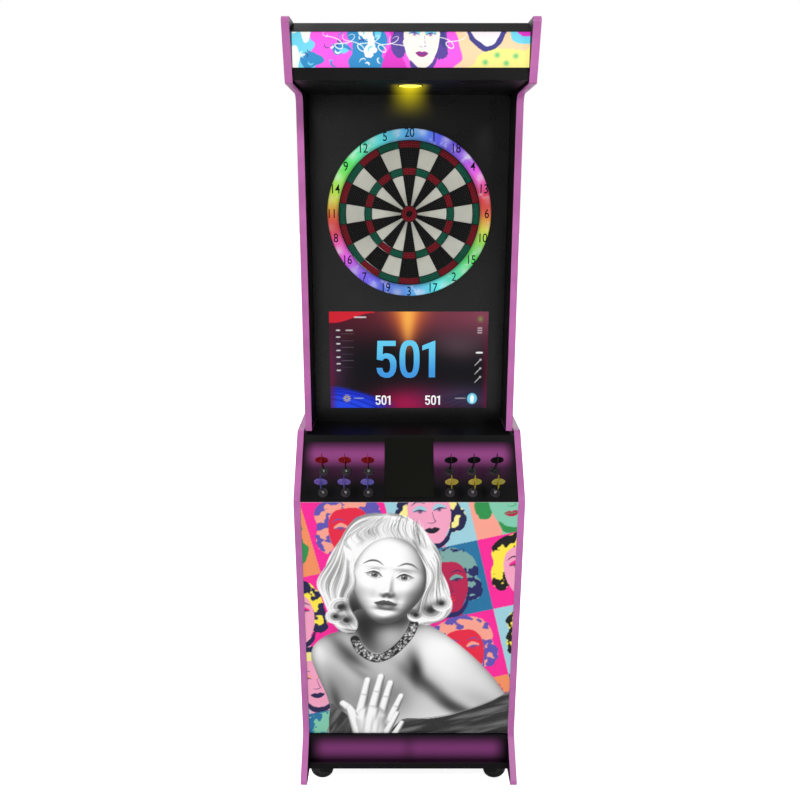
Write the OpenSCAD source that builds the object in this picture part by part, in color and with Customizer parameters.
// Electronic dartboard cabinet: a soft-tip dart head above a scoring screen, on a wheeled arcade base.
// Millimetres. X runs to the player's right, Y away from the player and Z up.
// The origin is on the floor, under the middle of the cabinet's outline.

/* [Cabinet] */
// Height of the roof above the floor
roof_z = 2186; // [2180:1:2190]
// Half the outside width of the upper cabinet
upper_half_w = 300; // [297:1:302]
// Half the outside width of the lower cabinet
lower_half_w = 322; // [322:1:330]
// Foremost corner of the upper side panels, before it is rounded
nose_y = -290; // [-294:1:-286]
// Thickness of the side panels
side_t = 19; // [18:1:20]
// Thickness of the main boards
panel_t = 16; // [15:1:17]
// Thickness of the moulded trim round the side panels
trim_t = 2; // [1.5:0.5:3]
// Height of the deck between the two cabinets
deck_z = 1110; // [1105:1:1112]
// Front edge of the neck, beside the display
neck_y = -37; // [-45:1:-30]
// Back edge of the upper cabinet
upper_back_y = 230; // [228:1:240]

/* [Marquee] */
// Height of the marquee's underside
soffit_z = 2050; // [2046:1:2055]
// Front face of the marquee's printed panel
marquee_y = -246; // [-248:1:-244]
// Height at which the sloped top strip starts
marquee_top_z = 2157; // [2150:1:2160]
// Height of the bottom strip's upper edge
marquee_bottom_z = 2078; // [2074:1:2082]
// Distance of each speaker from the middle
speaker_x = 172; // [160:1:185]
// Distance of the speakers behind the middle of the depth, negative towards the front
speaker_y = -195; // [-200:1:-190]
// Place of the downlight along the depth
spot_y = -145; // [-150:1:-130]

/* [Display] */
// Front face of the gloss display panel
display_y = 85; // [82:1:88]
// Thickness of the display panel
display_t = 10; // [9:1:12]
// Width of the screen
screen_w = 470.5; // [460:0.5:476]
// Height of the screen
screen_h = 293; // [286:1:300]
// Height of the screen's centre
screen_z = 1301.5; // [1295:0.5:1310]

/* [Dart head] */
// Height of the bull above the floor
bull_z = 1730; // [1725:1:1735]
// Front face of the segments
face_y = 37; // [36:0.5:38]
// Depth of a segment
segment_depth = 23; // [21:1:24]
// Radius of the inner bull
inner_bull_r = 8; // [7:0.5:9]
// Radius at the middle of the wall round the bull
bull_wall_r = 22; // [21:0.5:24]
// Radius of the treble ring's inner wall
treble_in_r = 105.5; // [104:0.5:107]
// Radius of the treble ring's outer wall
treble_out_r = 125; // [124:0.5:127]
// Radius of the double ring's inner wall
double_in_r = 178; // [176:0.5:180]
// Radius of the double ring's outer wall
double_out_r = 197; // [196:0.5:198]
// Outside radius of the number ring
number_ring_r = 228.5; // [224:0.5:232]
// Thickness of the divider's walls
divider_t = 1.6; // [1.4:0.1:2]

/* [Control slope and darts] */
// How far the slope lies below the side panels' edges
slope_recess = 4; // [3:1:5]
// Distance of the darts' upper row down the slope
upper_row_u = 124.7; // [120:0.1:130]
// Distance of the darts' lower row down the slope
lower_row_u = 188.5; // [180:0.1:190]
// Distance from the middle to the nearest dart holder
first_dart_x = 114; // [110:1:116]
// Spacing of the dart holders
dart_pitch = 63; // [55:1:63]
// Diameter of a dart holder's flange
cup_d = 28; // [26:1:30]
// Width of the centre console
console_w = 139; // [130:1:142]
// Width of a dart's flight
flight_w = 36; // [30:1:38]

/* [Base] */
// Height of the side panels' toes
toe_z = 73; // [73:1:78]
// Diameter of the caster wheels
wheel_d = 70; // [68:1:72]
// Height of the base board's underside
base_z = 100; // [100:1:102]
// Distance of the front wheels from the middle
front_wheel_x = 270; // [266:1:272]
// Place of the front wheels along the depth
front_wheel_y = -96.5; // [-98:0.5:-94]
// Distance of the rear wheels from the middle
rear_wheel_x = 250; // [240:1:255]
// Place of the rear wheels along the depth
rear_wheel_y = 215; // [200:1:220]

/* [Hidden] */
$fn = 64;
dart_sets = [["red", -1, upper_row_u], ["blue", -1, lower_row_u], ["black", 1, upper_row_u], ["yellow", 1, lower_row_u]];
dart_names = [for (s = dart_sets) for (i = [1:3]) str("dart_", s[0], "_", i)];

gap = 0.3;                                  // between pieces that move past each other
fit = 0.05;                                 // radial clearance of a pin in its bore
upper_in = upper_half_w - side_t;           // inner face of an upper side panel
lower_in = lower_half_w - side_t;           // inner face of a lower side panel
side_top_z = deck_z + 12;                   // top of the lower side panels
upper_foot_z = deck_z + 8;                  // foot of the upper side panels
arc_step = 10;                              // degrees turned by one stretch of a rounded corner

// Colours
black_board = [0.05, 0.05, 0.055];
gloss_black = [0.02, 0.02, 0.022];
trim_pink = [0.69, 0.38, 0.63];
steel = [0.7, 0.7, 0.72];
rubber = [0.04, 0.04, 0.04];

// --- Outlines with rounded corners -----------------------------------------------------------

function unit(v) = v / norm(v);
function turned_by(v, a) = [v[0] * cos(a) - v[1] * sin(a), v[0] * sin(a) + v[1] * cos(a)];

// The points round one corner [x, y, radius] of an anticlockwise outline moved inwards by inset.
function corner_points(before, here, after, inset) =
    let (
        d_in = unit([here[0] - before[0], here[1] - before[1]]),
        d_out = unit([after[0] - here[0], after[1] - here[1]]),
        n_in = [-d_in[1], d_in[0]],
        n_out = [-d_out[1], d_out[0]],
        way = (n_in + n_out) / (1 + n_in * n_out),
        bend = atan2(d_in[0] * d_out[1] - d_in[1] * d_out[0], d_in * d_out),
        side = sign(bend),
        r = here[2] - side * inset,
        corner = [here[0], here[1]] + way * inset,
        centre = corner + way * r * side,
        steps = ceil(abs(bend) / arc_step)
    )
    r <= 0.01 ? [corner] : [for (i = [0:steps]) centre - side * r * turned_by(n_in, bend * i / steps)];

function outline(corners, inset = 0) =
    let (n = len(corners))
    [for (i = [0:n - 1]) each corner_points(corners[(i + n - 1) % n], corners[i], corners[(i + 1) % n], inset)];

function box_corners(w, h, r) = [[w / 2, -h / 2, r], [w / 2, h / 2, r], [-w / 2, h / 2, r], [-w / 2, -h / 2, r]];

// --- Placing flat shapes ---------------------------------------------------------------------

// A shape drawn in Y and Z, extruded from x0 to x1.
module across(x0, x1) {
    translate([x0, 0, 0]) rotate([90, 0, 90]) linear_extrude(x1 - x0) children();
}

// A shape drawn in X and Z, extruded from y0 back to y1.
module facing(y0, y1) {
    translate([0, y1, 0]) rotate([90, 0, 0]) linear_extrude(y1 - y0) children();
}

// A box given by its lowest and highest corners.
module block(low, high) {
    translate(low) cube(high - low);
}

// A cylinder along X, Y or Z from its low end.
module rod_x(r, from, length) {
    translate(from) rotate([0, 90, 0]) cylinder(r = r, h = length);
}

module rod_y(r, from, length) {
    translate(from) rotate([-90, 0, 0]) cylinder(r = r, h = length);
}

// A turned shape about the bull's axis, its profile drawn as [radius, y].
module turned(points) {
    translate([0, 0, bull_z]) rotate([-90, 0, 0]) rotate_extrude($fn = 96) polygon(points);
}

module mirrored_x() {
    children();
    mirror([1, 0, 0]) children();
}

module ring_2d(r_out, r_in) {
    difference() {
        circle(r_out);
        circle(r_in);
    }
}

// --- Side panels -----------------------------------------------------------------------------

// Anticlockwise outlines of the side panels as [y, z, corner radius].
upper_corners = [
    [upper_back_y, upper_foot_z, 0], [upper_back_y, roof_z, 0], [nose_y, roof_z, 12],
    [marquee_y - 4, soffit_z - 8, 6], [neck_y, soffit_z - 12, 25], [neck_y, upper_foot_z, 0]
];
// The lower cabinet reaches as far back as the rounded nose of the upper one reaches forward.
back_y = -min([for (p = outline(upper_corners)) p[0]]);
slope_top = [-46, side_top_z];
slope_foot = [-187, 960];
toe_knee = [-141, 190];
lower_corners = [
    [back_y, toe_z, 0], [back_y, side_top_z, 0], [slope_top[0], slope_top[1], 15],
    [slope_foot[0], slope_foot[1], 40], [toe_knee[0], toe_knee[1], 40], [-248, toe_z, 10]
];

module side_panel(corners, x0) {
    color(black_board) across(x0, x0 + side_t) polygon(outline(corners, trim_t));
}

module side_trim(corners, x0) {
    across(x0, x0 + side_t) difference() {
        polygon(outline(corners));
        polygon(outline(corners, trim_t));
    }
}

module edge_trims() {
    color(trim_pink) mirrored_x() {
        side_trim(upper_corners, upper_in);
        side_trim(lower_corners, lower_in);
    }
}

// --- Marquee ---------------------------------------------------------------------------------

soffit_t = 12;
strip_y = marquee_y - 4;                    // front of the strips that hold the marquee panel
wedge_back_y = -190;
led_half_w = 265;
led_y = [marquee_y + 6, marquee_y + 18];    // front and back of the strips behind the marquee panel
led_h = 4;
speaker_w = 95;
speaker_h = 55;
spot_bezel_r = 32;
spot_can_r = 28;

module marquee_roof() {
    color(black_board) block([-upper_in, wedge_back_y, roof_z - panel_t], [upper_in, upper_back_y - trim_t, roof_z]);
}

module marquee_retainers() {
    color(black_board) across(-upper_in, upper_in) {
        polygon([[strip_y, marquee_top_z], [wedge_back_y, marquee_top_z], [wedge_back_y, roof_z]]);
        polygon([
            [strip_y, soffit_z], [strip_y + 16, soffit_z], [strip_y + 16, soffit_z + soffit_t],
            [marquee_y, soffit_z + soffit_t], [marquee_y, marquee_bottom_z], [strip_y, marquee_bottom_z]
        ]);
    }
}

module marquee_panel() {
    color("hotpink") block(
        [-upper_in + 0.5, marquee_y, soffit_z + soffit_t], [upper_in - 0.5, marquee_y + 3, marquee_top_z]
    );
}

module marquee_underside() {
    color(black_board) difference() {
        block([-upper_in, strip_y + 16, soffit_z], [upper_in, display_y + display_t + 2, soffit_z + soffit_t]);
        mirrored_x() translate([speaker_x, speaker_y, soffit_z - 1]) linear_extrude(soffit_t + 2)
            square([speaker_w - 8, speaker_h - 8], center = true);
        translate([0, spot_y, soffit_z - 1]) cylinder(r = spot_can_r, h = soffit_t + 2);
    }
}

module led_strips() {
    color("white") for (z = [soffit_z + soffit_t, marquee_top_z - led_h])
        block([-led_half_w, led_y[0], z], [led_half_w, led_y[1], z + led_h]);
}

// The downlight: a bezel under the soffit, a can above it and a flush lens in its mouth.
module spotlight() {
    color(steel) translate([0, spot_y, 0]) {
        translate([0, 0, soffit_z - 2]) linear_extrude(2) ring_2d(spot_bezel_r, spot_can_r - 1);
        translate([0, 0, soffit_z]) linear_extrude(40) ring_2d(spot_can_r, spot_can_r - 2);
        translate([0, 0, soffit_z + 40]) cylinder(r = spot_can_r, h = 2);
    }
    color("yellow") translate([0, spot_y, soffit_z - 1]) cylinder(r = spot_can_r - 2, h = 5);
}

// Each speaker: a slotted grille in the soffit and the driver standing on it.
module speakers() {
    slat = 4;
    color(rubber) mirrored_x() translate([speaker_x, speaker_y, soffit_z - 1.5]) {
        difference() {
            linear_extrude(1.5) polygon(outline(box_corners(speaker_w, speaker_h, 4)));
            for (i = [-4:4]) translate([0, i * 5, -1]) linear_extrude(4) square([speaker_w - 14, 2.4], center = true);
        }
        translate([0, 0, 1.5]) linear_extrude(soffit_t) difference() {
            square([speaker_w - 8, speaker_h - 8], center = true);
            square([speaker_w - 8 - slat, speaker_h - 8 - slat], center = true);
        }
        translate([0, 0, soffit_t + 1.5]) linear_extrude(4) square([speaker_w, speaker_h], center = true);
        translate([0, 0, soffit_t + 5.5]) cylinder(r1 = 24, r2 = 16, h = 16);
        translate([0, 0, soffit_t + 21.5]) cylinder(r = 20, h = 10);
    }
}

// --- Display and screen ----------------------------------------------------------------------

display_half_w = upper_in - 1;
case_depth = 36;

module display_panel() {
    mid_z = (soffit_z + deck_z) / 2;
    color(gloss_black) facing(display_y, display_y + display_t) difference() {
        translate([0, mid_z]) polygon(outline(box_corners(2 * display_half_w, soffit_z - deck_z, 13)));
        translate([0, screen_z]) square([screen_w + gap, screen_h + gap], center = true);
    }
}

module screen() {
    color("midnightblue") facing(display_y + 0.2, display_y + display_t) translate([0, screen_z])
        square([screen_w, screen_h], center = true);
}

module monitor_case() {
    back = display_y + display_t;
    color([0.12, 0.12, 0.13]) {
        facing(back, back + case_depth) translate([0, screen_z])
            polygon(outline(box_corners(screen_w + 36, screen_h + 36, 6)));
        facing(back + case_depth, back + case_depth + 14) translate([0, screen_z])
            polygon(outline(box_corners(200, 140, 6)));
    }
}

// --- Dart head -------------------------------------------------------------------------------

sector_angle = 18;
divider_front = face_y - 1.5;
divider_back = face_y + segment_depth - 3;
segment_back = face_y + segment_depth;
pocket_gap = divider_t / 2 + gap;           // from the middle of a divider wall to a segment
tray_bore_r = double_out_r + 1.2;
ring_front = face_y - 12;
ring_back = face_y + 4;
membrane_front = segment_back + 1.8;
tray_floor = display_y - 15;

// Radii [inner, outer] of the single and of the scoring rings of segments.
single_rings = [[bull_wall_r, treble_in_r], [treble_out_r, double_in_r]];
scoring_rings = [[treble_in_r, treble_out_r], [double_in_r, double_out_r]];

module board_tray() {
    tray_r = number_ring_r - 4;
    color(rubber) turned([
        [tray_bore_r, ring_back], [tray_r, ring_back], [tray_r, display_y - 2], [tray_r + 3, display_y - 2],
        [tray_r + 3, display_y], [0, display_y], [0, tray_floor], [tray_bore_r, tray_floor]
    ]);
}

module number_ring() {
    color("lightskyblue") turned([
        [tray_bore_r, ring_front + 1.5], [tray_bore_r + 1.5, ring_front], [number_ring_r - 3, ring_front],
        [number_ring_r, ring_front + 3], [number_ring_r, ring_back], [tray_bore_r, ring_back]
    ]);
}

// The divider that the segments sit in: ring walls and twenty radial bars.
module spider() {
    color(gloss_black) facing(divider_front, divider_back) translate([0, bull_z]) {
        for (r = [bull_wall_r, treble_in_r, treble_out_r, double_in_r])
            ring_2d(r + divider_t / 2, r - divider_t / 2);
        ring_2d(tray_bore_r, double_out_r - divider_t / 2);
        for (i = [0:19]) rotate(sector_angle * (i + 0.5)) translate([bull_wall_r, -divider_t / 2])
            square([double_out_r - bull_wall_r, divider_t]);
    }
}

// The part of sector i, counted clockwise from the top, that lies clear of the radial bars.
module sector(i) {
    apex = pocket_gap / sin(sector_angle / 2);
    reach = 240;
    rotate(90 - sector_angle * i) polygon([
        [apex, 0], [apex + reach, -reach * tan(sector_angle / 2)], [apex + reach, reach * tan(sector_angle / 2)]
    ]);
}

module segments(rings, first, colour) {
    color(colour) facing(face_y, segment_back) translate([0, bull_z]) intersection() {
        for (r = rings) ring_2d(r[1] - pocket_gap, r[0] + pocket_gap);
        for (i = [first:2:19]) sector(i);
    }
}

module segments_black() { segments(single_rings, 0, [0.06, 0.06, 0.06]); }
module segments_white() { segments(single_rings, 1, [0.78, 0.77, 0.74]); }
module segments_red() { segments(scoring_rings, 0, [0.45, 0.08, 0.1]); }
module segments_green() { segments(scoring_rings, 1, [0.06, 0.3, 0.22]); }

module bull_outer() {
    outer = bull_wall_r - pocket_gap;
    flange = bull_wall_r + divider_t / 2 - 0.2;
    color([0.45, 0.08, 0.1]) turned([
        [inner_bull_r + 0.4, face_y - 0.4], [outer, face_y - 0.4], [outer, divider_back + 0.4],
        [flange, divider_back + 0.4], [flange, segment_back], [inner_bull_r + 0.4, segment_back]
    ]);
}

module bull_inner() {
    color(black_board) turned([
        [0, face_y - 0.6], [inner_bull_r - 1, face_y - 0.6], [inner_bull_r, face_y + 0.4],
        [inner_bull_r, segment_back], [0, segment_back]
    ]);
}

module sensor_membrane() {
    color([0.2, 0.2, 0.2]) turned([
        [0, membrane_front], [tray_bore_r - 0.5, membrane_front], [tray_bore_r - 0.5, tray_floor], [0, tray_floor]
    ]);
}

// --- Rear frame, door and lock ---------------------------------------------------------------

door_y = upper_back_y - panel_t;            // inner face of the rear door
door_low_z = 1150;
door_high_z = 2130;
door_half_w = upper_in - 2.5;
stop_y = door_y - 12;
stop_back_y = door_y - gap;                 // the closed door lies just behind its stops
stop_w = 16;
hinge_r = 3.4;
hinge_pin_r = 1.5;
hinge_leaf_t = 1.6;
hinge_leaf_w = 15;
hinge_axis = [-upper_in + 1, upper_back_y + 3.6];
hinge_zs = [1250, 1640, 2030];
hinge_h = 60;
lock_x = upper_in - 34;
lock_z = 1640;
lock_r = 9.5;
plug_r = 6;
strap_hole_x = 200;
strap_hole_z = 2147;

// Floor board, stops and rails round the rear door, as one frame.
module rear_frame() {
    roof_low = roof_z - panel_t;
    color(black_board) difference() {
        union() {
            block([-upper_in, display_y + display_t + 2, deck_z], [upper_in, upper_back_y - trim_t, deck_z + 24]);
            block([-upper_in, door_y, deck_z], [upper_in, upper_back_y - trim_t, door_low_z - 1]);
            block([-upper_in, door_y, door_high_z + 1], [upper_in, upper_back_y - trim_t, roof_low]);
            block([-upper_in, stop_y, door_high_z + 1], [upper_in, door_y, roof_low]);
            block([-upper_in, stop_y, deck_z], [upper_in, door_y, door_low_z - 1]);
            block([-upper_in, stop_y, door_high_z - 12], [upper_in, stop_back_y, roof_low]);
            block([-upper_in, stop_y, deck_z], [upper_in, stop_back_y, door_low_z + 12]);
            mirrored_x() block([upper_in - stop_w, stop_y, deck_z], [upper_in, stop_back_y, roof_low]);
        }
        for (s = [-1, 1]) rod_y(3, [s * strap_hole_x, stop_y - 1, strap_hole_z], 40);
    }
}

module rear_door() {
    vent_w = 180;
    color(black_board) difference() {
        block([-door_half_w, door_y, door_low_z], [door_half_w, upper_back_y, door_high_z]);
        rod_y(lock_r, [lock_x, door_y - 1, lock_z], panel_t + 2);
        for (i = [0:7]) translate([0, 0, 1880 + i * 22]) facing(door_y - 1, upper_back_y + 1)
            polygon(outline(box_corners(vent_w, 8, 3.9)));
    }
}

// A hinge leaf lying on the back, from the axis out to one side, with its share of the knuckle.
module hinge_leaf(z, way, knuckles) {
    near = 4.2;
    h = hinge_h / 2;
    translate([hinge_axis[0], 0, z]) difference() {
        union() {
            mirror([way < 0 ? 1 : 0, 0, 0]) block([near, upper_back_y, -h], [hinge_leaf_w, upper_back_y + hinge_leaf_t, h]);
            for (k = knuckles) {
                mirror([way < 0 ? 1 : 0, 0, 0]) block([0, upper_back_y, k[0]], [near, upper_back_y + hinge_leaf_t, k[1]]);
                translate([0, hinge_axis[1], k[0]]) cylinder(r = hinge_r, h = k[1] - k[0]);
            }
        }
        translate([0, hinge_axis[1], -h - 1]) cylinder(r = hinge_pin_r + fit, h = hinge_h + 2);
    }
}

module hinge_leaves() {
    color(steel) for (z = hinge_zs) {
        hinge_leaf(z, -1, [[-30, -10.3], [10.3, 30]]);
        translate([hinge_axis[0], hinge_axis[1], z - 29]) cylinder(r = hinge_pin_r, h = 58);
        translate([hinge_axis[0], hinge_axis[1], z + 29]) cylinder(r = hinge_pin_r + fit, h = 1);
    }
}

module door_hardware() {
    color(steel) {
        for (z = hinge_zs) hinge_leaf(z, 1, [[-10, 10]]);
        difference() {
            union() {
                rod_y(lock_r, [lock_x, stop_y - 1, lock_z], upper_back_y - stop_y + 1);
                rod_y(lock_r + 3, [lock_x, upper_back_y, lock_z], 1.5);
            }
            rod_y(plug_r + fit, [lock_x, stop_y - 2, lock_z], 40);
        }
    }
}

// The key plug with its slot, and the tongue that turns behind the door stop.
module lock_cam() {
    plug_back = upper_back_y + 1.2;
    tongue_y = stop_y - 4.5;
    color(steel) difference() {
        union() {
            rod_y(plug_r, [lock_x, tongue_y, lock_z], plug_back - tongue_y);
            translate([lock_x, 0, lock_z]) facing(tongue_y, tongue_y + 2.5)
                polygon(outline([[7, -32, 6], [7, 7, 6], [-7, 7, 6], [-7, -32, 6]]));
        }
        block([lock_x - 0.8, plug_back - 8, lock_z - 4], [lock_x + 0.8, plug_back + 1, lock_z + 4]);
    }
}

// --- Electronics -----------------------------------------------------------------------------

back_panel_y = back_y - trim_t - panel_t;
inlet_x = 230;
inlet_z = 150;
inlet_y = back_y - 0.5;
socket_x = inlet_x - 13;
switch_x = inlet_x + 18;
rocker_w = 12.6;
rocker_y = inlet_y - 6;
rocker_pin_r = 1.5;
rocker_pin_reach = 3;                       // from the rocker's flank into the frame

module game_computer() {
    color([0.25, 0.26, 0.28]) {
        difference() {
            block([-120, 150, deck_z + 24], [120, 196, deck_z + 194]);
            for (i = [0:9]) block([-90 + i * 20, 190, deck_z + 60], [-82 + i * 20, 197, deck_z + 160]);
        }
    }
}

// Supply box behind the back panel, with the mains socket and the switch's frame in its face.
module power_supply() {
    floor_z = base_z + panel_t;
    color([0.3, 0.3, 0.32]) difference() {
        union() {
            block([160, 150, floor_z], [290, back_panel_y, floor_z + 85]);
            translate([inlet_x, 0, inlet_z]) facing(back_panel_y, inlet_y) polygon(outline(box_corners(64, 40, 4)));
        }
        translate([socket_x, 0, inlet_z]) facing(inlet_y - 16, inlet_y + 1)
            polygon(outline([[12, -8.5, 1], [12, 4, 1], [7, 8.5, 1], [-7, 8.5, 1], [-12, 4, 1], [-12, -8.5, 1]]));
        translate([switch_x, 0, inlet_z]) facing(inlet_y - 14, inlet_y + 1)
            square([rocker_w + 1.2, 25], center = true);
        rocker_pin(rocker_pin_r + fit, rocker_pin_reach + 0.5);
    }
}

// The rocker's pivot, from reach beyond one flank to reach beyond the other.
module rocker_pin(r, reach) {
    rod_x(r, [switch_x - rocker_w / 2 - reach, rocker_y, inlet_z], rocker_w + 2 * reach);
}

module power_switch() {
    color("firebrick") {
        translate([switch_x - rocker_w / 2, rocker_y, inlet_z]) rotate([7, 0, 0]) rotate([90, 0, 90])
            linear_extrude(rocker_w) polygon([[-4, -6], [5, -10], [4, 0], [5, 10], [-4, 6]]);
        rocker_pin(rocker_pin_r, rocker_pin_reach);
    }
}

// --- Lower cabinet ---------------------------------------------------------------------------

slope_dir = unit(slope_foot - slope_top);
slope_out = [slope_dir[1], -slope_dir[0]];
slope_angle = atan2(-slope_dir[1], -slope_dir[0]);
slope_board_t = 12;
lip_z = 956;
art_top = [-185, lip_z];
art_foot = [-137, 185];
art_t = 12;
kick_y = -145;
kick_z = 73;
rail_h = 22;
console_top_u = 22;
console_foot_u = 203;
cup_bore_r = 5;
cup_tube_r = 11;
cup_depth = 50;
holder_xs = [for (i = [0:2]) first_dart_x + i * dart_pitch];

// The point [y, z] at height z on the slope's surface, or n beyond it.
function slope_at(z, n) = slope_top + n * slope_out + slope_dir * (z - slope_top[1] - n * slope_out[1]) / slope_dir[1];

// Places children on the slope's surface: X across, Y up the slope and Z out of it.
module on_slope(x, u) {
    translate([x, slope_top[0], slope_top[1]]) rotate([slope_angle, 0, 0]) translate([0, -u, -slope_recess]) children();
}

module deck_board() {
    color(black_board) across(-lower_in, lower_in) polygon([
        slope_at(deck_z, -slope_recess), slope_at(deck_z - panel_t, -slope_recess),
        [back_y - trim_t, deck_z - panel_t], [back_y - trim_t, deck_z]
    ]);
}

module control_panel() {
    top_z = deck_z - panel_t;
    inner = -slope_recess - slope_board_t;
    color(gloss_black) difference() {
        across(-lower_in, lower_in) polygon([
            slope_at(top_z, -slope_recess), slope_at(lip_z + 4, -slope_recess), art_top,
            slope_at(lip_z, inner), slope_at(top_z, inner)
        ]);
        for (x = holder_xs, s = [-1, 1], u = [upper_row_u, lower_row_u]) on_slope(s * x, u)
            translate([0, 0, -30]) cylinder(r = cup_tube_r, h = 60);
        on_slope(0, 0) block([-console_w / 2 + 2, -console_foot_u + 2, -40], [console_w / 2 - 2, -console_top_u - 14, 40]);
    }
}

module console_box() {
    color([0.08, 0.08, 0.07]) on_slope(0, 0) {
        linear_extrude(3) translate([0, -(console_top_u + console_foot_u) / 2])
            polygon(outline(box_corners(console_w, console_foot_u - console_top_u, 4)));
        block([-console_w / 2 + 2, -console_foot_u + 2, -36], [console_w / 2 - 2, -console_top_u - 14, 0]);
    }
}

module dart_cups() {
    color(rubber) for (x = holder_xs, s = [-1, 1], u = [upper_row_u, lower_row_u]) on_slope(s * x, u)
        rotate_extrude() polygon([
            [cup_bore_r, 2.5], [cup_d / 2 - 1, 2.5], [cup_d / 2, 1.5], [cup_d / 2, 0], [cup_tube_r, 0],
            [cup_tube_r, -cup_depth - 4], [0, -cup_depth - 4], [0, -cup_depth], [cup_bore_r, -cup_depth]
        ]);
}

module front_panel() {
    color("lightgrey") across(-lower_in, lower_in)
        polygon([art_top, art_foot, art_foot + [art_t, 0], art_top + [art_t, 0]]);
}

module kick_panel() {
    color([0.3, 0.12, 0.28]) across(-lower_in, lower_in) polygon([
        [kick_y, art_foot[1]], [kick_y, kick_z + rail_h], [kick_y - art_t, kick_z + rail_h],
        [kick_y - art_t, kick_z], [kick_y + art_t, kick_z], [kick_y + art_t, art_foot[1]]
    ]);
}

module base_board() {
    color(black_board) block([-lower_in, kick_y + art_t, base_z], [lower_in, back_panel_y, base_z + panel_t]);
}

module lower_back_panel() {
    color(black_board) difference() {
        block([-lower_in, back_panel_y, base_z], [lower_in, back_y - trim_t, deck_z - panel_t]);
        translate([inlet_x, 0, inlet_z]) facing(back_panel_y - 1, back_y) polygon(outline(box_corners(64, 40, 4)));
        for (i = [0:7]) translate([0, 0, 820 + i * 22]) facing(back_panel_y - 1, back_y)
            polygon(outline(box_corners(180, 8, 3.9)));
    }
}

// --- Casters ---------------------------------------------------------------------------------

wheel_half_w = 12;
wheel_axle_r = 4;
cheek_gap = wheel_half_w + 0.8;
cheek_t = 3;
trail = 28;
plate_t = 4;
raceway_h = 6;
race_gap = 0.5;
stem_r = 5;
crown_z = base_z - plate_t - raceway_h - race_gap;
swivel_x = front_wheel_x - trail;
wheel_r = wheel_d / 2;

// A wheel about the Z axis, centred on the origin.
module wheel() {
    w = wheel_half_w;
    color(rubber) rotate_extrude() polygon([
        [wheel_axle_r + fit, -w], [13, -w], [14, -w + 3], [25, -w + 3], [26, -w + 0.5], [wheel_r - 3, -w + 0.5],
        [wheel_r, -w + 4], [wheel_r, w - 4], [wheel_r - 3, w - 0.5], [26, w - 0.5], [25, w - 3], [14, w - 3],
        [13, w], [wheel_axle_r + fit, w]
    ]);
}

// Two cheeks with the axle between them. The wheel's centre lies offset along X from the crown.
module cheeks(offset_x, top_z) {
    reach = cheek_gap + cheek_t;
    for (y = [-reach, cheek_gap]) facing(y, y + cheek_t) polygon(outline([
        [offset_x + 9, wheel_r - 10, 8], [24, top_z, 1], [-18, top_z, 1], [min(offset_x - 9, -5), wheel_r - 10, 8]
    ]));
    rod_y(wheel_axle_r, [offset_x, -reach - 1, wheel_r], 2 * reach + 2);
    for (y = [-reach - 3, reach]) rod_y(7, [offset_x, y, wheel_r], 3);
}

module caster_fork() {
    color(steel) translate([swivel_x, front_wheel_y, 0]) {
        cheeks(trail, crown_z);
        translate([0, 0, crown_z - 4]) cylinder(r = 21, h = 4);
        translate([0, 0, crown_z]) cylinder(r = stem_r, h = raceway_h);
    }
}

module caster_brackets() {
    rear_plate_z = base_z - plate_t;
    color(steel) mirrored_x() {
        translate([swivel_x, front_wheel_y, rear_plate_z]) {
            translate([-30, -30, 0]) cube([60, 60, plate_t]);
            translate([0, 0, -raceway_h]) linear_extrude(raceway_h) ring_2d(22, stem_r + fit);
        }
        translate([rear_wheel_x, rear_wheel_y, 0]) rotate([0, 0, 90]) {
            translate([-30, -30, rear_plate_z]) cube([60, 60, plate_t]);
            cheeks(0, rear_plate_z);
        }
    }
}

module front_wheel_right() {
    translate([front_wheel_x, front_wheel_y, wheel_r]) rotate([90, 0, 0]) wheel();
}

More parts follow.
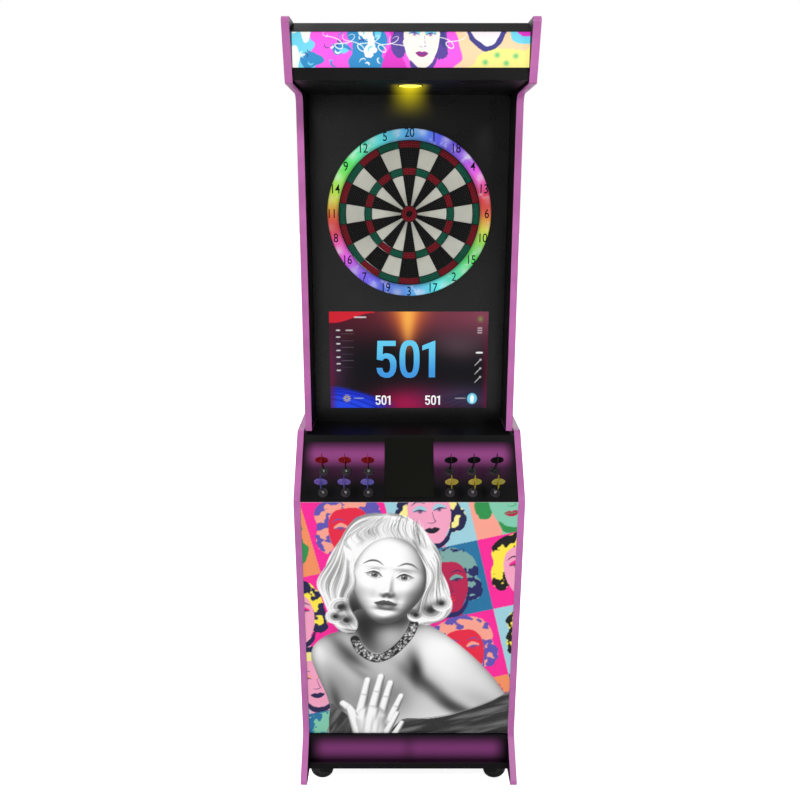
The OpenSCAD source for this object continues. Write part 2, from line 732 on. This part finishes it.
module rear_wheel_right() {
    translate([rear_wheel_x, rear_wheel_y, wheel_r]) rotate([0, 90, 0]) wheel();
}

// --- Darts -----------------------------------------------------------------------------------

// A soft-tip dart in its holder. Zero is the slope's surface and the dart points into it.
module dart(x, u, colour) {
    tip_end = -47.5;
    barrel_r = 3.4;
    shaft_r = 2.3;
    vane_t = 0.8;
    w = flight_w / 2;
    color(colour) on_slope(x, u) {
        translate([0, 0, tip_end]) cylinder(r1 = 0.6, r2 = 1.5, h = 26);
        rotate_extrude() polygon([
            [0, -22.5], [2.2, -22.5], [barrel_r, -18], [barrel_r, 24], [shaft_r, 27.5], [shaft_r, 64], [1.6, 72], [0, 72]
        ]);
        for (a = [0, 90]) rotate([90, 0, a]) translate([0, 0, -vane_t / 2]) linear_extrude(vane_t)
            polygon([[-1, 60], [1, 60], [w, 74], [w, 99], [w - 7, 106], [7 - w, 106], [-w, 99], [-w, 74]]);
    }
}

side_panel(upper_corners, -upper_half_w);  // upper_side_left
side_panel(upper_corners, upper_in);  // upper_side_right
edge_trims();
marquee_roof();
marquee_retainers();
marquee_panel();
marquee_underside();
led_strips();
spotlight();
speakers();
display_panel();
screen();
monitor_case();
board_tray();
number_ring();
spider();
segments_black();
segments_white();
segments_red();
segments_green();
bull_outer();
bull_inner();
sensor_membrane();
rear_frame();
rear_door();
hinge_leaves();
door_hardware();
lock_cam();
game_computer();
power_supply();
power_switch();
side_panel(lower_corners, -lower_half_w);  // lower_side_left
side_panel(lower_corners, lower_in);  // lower_side_right
deck_board();
control_panel();
console_box();
dart_cups();
front_panel();
kick_panel();
base_board();
lower_back_panel();
caster_brackets();
mirror([1, 0, 0]) caster_fork();  // caster_fork_left
caster_fork();  // caster_fork_right
mirror([1, 0, 0]) front_wheel_right();  // front_wheel_left
front_wheel_right();
mirror([1, 0, 0]) rear_wheel_right();  // rear_wheel_left
rear_wheel_right();
for (s = dart_sets) for (i = [1:3])
    dart(s[1] * holder_xs[s[1] < 0 ? 3 - i : i - 1], s[2], s[0] == "black" ? [0.1, 0.1, 0.1] : s[0]);
